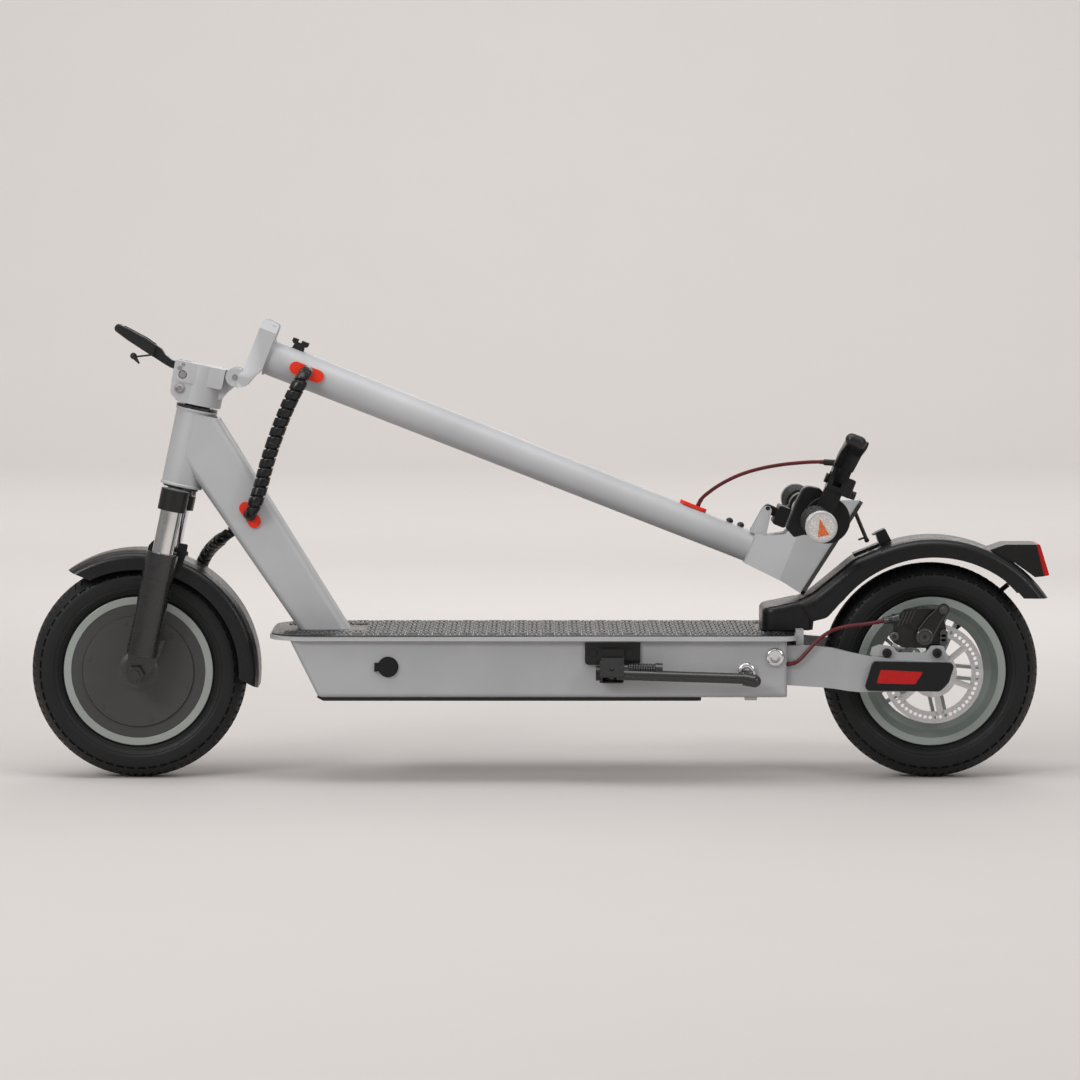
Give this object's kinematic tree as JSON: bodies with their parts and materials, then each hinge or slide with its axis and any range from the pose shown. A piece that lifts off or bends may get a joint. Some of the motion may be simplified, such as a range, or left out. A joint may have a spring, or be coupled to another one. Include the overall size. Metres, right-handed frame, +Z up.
{
  "type": "folding electric kick scooter",
  "caption": "Folding electric kick scooter stored folded: stem laid over the deck, sprung front fork, hub motor front wheel, drilled rear brake disc, side stand.",
  "frame": {"origin": "on the ground, under the middle of the folded scooter's box", "axes": "+X to the rear wheel, -Y to the rider's left, +Z up"},
  "size_m": [1.1999, 0.524, 0.5413],
  "materials": {
    "deck_hull": "satin silver-gray",
    "bottom_cover": "black",
    "deck_rim": "satin",
    "deck_mat": "raised woven pattern",
    "down_tube": "satin silver-gray",
    "head_tube": "satin silver-gray",
    "headset_bearings": "black",
    "battery_pack": "shrink wrap",
    "controller": "cast case",
    "charge_port": "black",
    "rear_fork": "satin silver-gray",
    "fork_bolts": "polished",
    "rear_fender": "black",
    "fender_fittings": "black",
    "red_lenses": "red lens",
    "arm_end_covers": "black",
    "caliper_body": "black",
    "rear_brake_cable": "dark red sheath",
    "kickstand_bracket": "black",
    "rear_axle": "plain",
    "frame_grommet": "orange-red",
    "stem_harness": "spiral wrap",
    "fold_base": "satin silver-gray",
    "fold_hardware": "plain",
    "fork_crown": "black",
    "stanchions": "polished",
    "fork_springs": "plain",
    "fork_legs": "black",
    "front_fender": "black",
    "front_axle": "dark",
    "motor_stator": "laminated",
    "hub_harness": "spiral wrap",
    "front_tyre": "road tread",
    "front_rim": "satin gray",
    "motor_covers": "dark",
    "rear_tyre": "road tread",
    "rear_rim": "satin gray",
    "brake_disc": "drilled",
    "stem_tube": "satin silver-gray",
    "stem_head": "satin silver-gray",
    "display_panel": "black",
    "handlebar": "black",
    "grips": "ribbed",
    "bar_end_lights": "clear over orange",
    "control_pods": "black",
    "brake_perch": "black",
    "stem_hooks": "black",
    "stem_grommets": "orange-red",
    "front_brake_cable": "dark red sheath",
    "brake_lever": "black",
    "caliper_arm": "black",
    "throttle_paddle": "black",
    "headlight": "black",
    "headlight_lens": "clear",
    "latch_lever": "black",
    "kickstand_leg": "black",
    "charge_cap": "black",
    "power_button": "black",
    "horn_button": "red",
    "turn_switch": "gray"
  },
  "bodies": {
    "frame": {"deck_hull": "deck_hull", "bottom_cover": "bottom_cover", "deck_rim": "deck_rim", "deck_mat": "deck_mat", "down_tube": "down_tube", "head_tube": "head_tube", "headset_bearings": "headset_bearings", "battery_pack": "battery_pack", "controller": "controller", "charge_port": "charge_port", "rear_fork": "rear_fork", "fork_bolts": "fork_bolts", "rear_fender": "rear_fender", "fender_fittings": "fender_fittings", "red_lenses": "red_lenses", "arm_end_covers": "arm_end_covers", "caliper_body": "caliper_body", "rear_brake_cable": "rear_brake_cable", "kickstand_bracket": "kickstand_bracket", "rear_axle": "rear_axle", "frame_grommet": "frame_grommet", "stem_harness": "stem_harness"},
    "steer": {"fold_base": "fold_base", "fold_hardware": "fold_hardware", "fork_crown": "fork_crown", "stanchions": "stanchions", "fork_springs": "fork_springs"},
    "fork_lowers": {"fork_legs": "fork_legs", "front_fender": "front_fender", "front_axle": "front_axle", "motor_stator": "motor_stator", "hub_harness": "hub_harness"},
    "front_wheel": {"front_tyre": "front_tyre", "front_rim": "front_rim", "motor_covers": "motor_covers"},
    "rear_wheel": {"rear_tyre": "rear_tyre", "rear_rim": "rear_rim", "brake_disc": "brake_disc"},
    "stem": {"stem_tube": "stem_tube", "stem_head": "stem_head", "display_panel": "display_panel", "handlebar": "handlebar", "grips": "grips", "bar_end_lights": "bar_end_lights", "control_pods": "control_pods", "brake_perch": "brake_perch", "stem_hooks": "stem_hooks", "stem_grommets": "stem_grommets", "front_brake_cable": "front_brake_cable"},
    "brake_lever": {"brake_lever": "brake_lever"},
    "caliper_arm": {"caliper_arm": "caliper_arm"},
    "throttle_paddle": {"throttle_paddle": "throttle_paddle"},
    "headlight": {"headlight": "headlight", "headlight_lens": "headlight_lens"},
    "latch_lever": {"latch_lever": "latch_lever"},
    "kickstand": {"kickstand_leg": "kickstand_leg"},
    "charge_cap": {"charge_cap": "charge_cap"},
    "power_button": {"power_button": "power_button"},
    "horn_button": {"horn_button": "horn_button"},
    "turn_switch": {"turn_switch": "turn_switch"}
  },
  "joints": [
    {"name": "steering", "type": "hinge", "parent": "frame", "child": "steer", "pos_m": [-0.46977, 0, 0.12631], "axis": [0.2079, 0, 0.9781], "range_deg": [-40, 40], "deforming": ["stem_harness", "hub_harness"]},
    {"name": "stem_fold", "type": "hinge", "parent": "steer", "child": "stem", "pos_m": [-0.35747, 0, 0.4738], "axis": [0, -1, 0], "range_deg": [0, 99.6], "deforming": ["stem_harness"]},
    {"name": "fork_travel", "type": "slide", "parent": "steer", "child": "fork_lowers", "axis": [0.2079, 0, 0.9781], "range_m": [0, 0.025], "stiffness_N_per_m": 8000, "springref_m": -0.02, "deforming": ["fork_springs", "hub_harness"]},
    {"name": "front_wheel_spin", "type": "hinge", "parent": "fork_lowers", "child": "front_wheel", "pos_m": [-0.473, 0, 0.127], "axis": [0, 1, 0], "continuous": true},
    {"name": "rear_wheel_spin", "type": "hinge", "parent": "frame", "child": "rear_wheel", "pos_m": [0.462, 0, 0.127], "axis": [0, 1, 0], "continuous": true},
    {"name": "kickstand_swing", "type": "hinge", "parent": "frame", "child": "kickstand", "pos_m": [0.084, -0.104, 0.135], "axis": [0, 0.866, -0.5], "range_deg": [0, 85]},
    {"name": "brake_lever_pull", "type": "hinge", "parent": "stem", "child": "brake_lever", "pos_m": [0.34392, -0.148, 0.36346], "axis": [0.9298, 0, -0.3681], "range_deg": [0, 22], "stiffness_Nm_per_rad": 1.5, "springref_deg": -14.32},
    {"name": "caliper_pull", "type": "hinge", "parent": "frame", "child": "caliper_arm", "pos_m": [0.45, -0.07, 0.172], "axis": [0, -1, 0], "range_deg": [0, 25]},
    {"name": "throttle_push", "type": "hinge", "parent": "stem", "child": "throttle_paddle", "pos_m": [0.29677, 0.108, 0.30415], "axis": [0, 1, 0], "range_deg": [0, 25], "stiffness_Nm_per_rad": 0.08, "springref_deg": -11.46},
    {"name": "headlight_tilt", "type": "hinge", "parent": "stem", "child": "headlight", "pos_m": [0.26924, 0, 0.31882], "axis": [0, 1, 0], "range_deg": [-10, 10]},
    {"name": "latch_swing", "type": "hinge", "parent": "steer", "child": "latch_lever", "pos_m": [-0.42133, 0, 0.48406], "axis": [0, 1, 0], "range_deg": [0, 68]},
    {"name": "charge_cap_hinge", "type": "hinge", "parent": "frame", "child": "charge_cap", "pos_m": [-0.1909, -0.0883, 0.1382], "axis": [0, 0, -1], "range_deg": [0, 110]},
    {"name": "power_press", "type": "slide", "parent": "stem", "child": "power_button", "axis": [-0.8432, 0, 0.5376], "range_m": [0, 0.001], "stiffness_N_per_m": 400, "springref_m": -0.001},
    {"name": "horn_press", "type": "slide", "parent": "stem", "child": "horn_button", "axis": [-0.9298, 0, 0.3681], "range_m": [0, 0.0015], "stiffness_N_per_m": 400, "springref_m": -0.001},
    {"name": "turn_switch_slide", "type": "slide", "parent": "stem", "child": "turn_switch", "axis": [-0.3681, 0, -0.9298], "range_m": [-0.0015, 0.0015]}
  ],
  "couplings": [
    {"joint": "caliper_pull", "follows": "brake_lever_pull", "ratio": 1.1}
  ]
}
